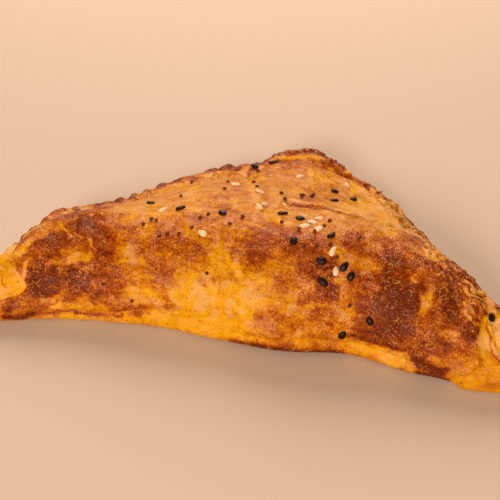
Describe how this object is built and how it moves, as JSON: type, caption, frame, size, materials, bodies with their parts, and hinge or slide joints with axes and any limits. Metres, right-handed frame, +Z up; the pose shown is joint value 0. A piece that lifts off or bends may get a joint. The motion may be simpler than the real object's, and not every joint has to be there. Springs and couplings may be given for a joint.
{
  "type": "vegan empanada",
  "caption": "Baked triangular filled pastry with a folded long edge, crimped and flaky sealed edges, rolled ends and scattered seeds, resting on a flat underside.",
  "frame": {"origin": "middle of the flat underside", "axes": "+X runs along the long folded front edge, +Y from that edge to the blunt back corner, +Z up; the part rests as modelled"},
  "size_m": [0.1537, 0.0891, 0.0281],
  "materials": {
    "crust": "glaze baked to patches of gold, orange and dark brown, satin",
    "white_sesame": "toasted hulled seed, satin",
    "black_sesame": "black seed, satin",
    "poppy_seed": "blue-brown seed, matte"
  },
  "bodies": {
    "root": {"empanada": "crust"}
  },
  "joints": []
}
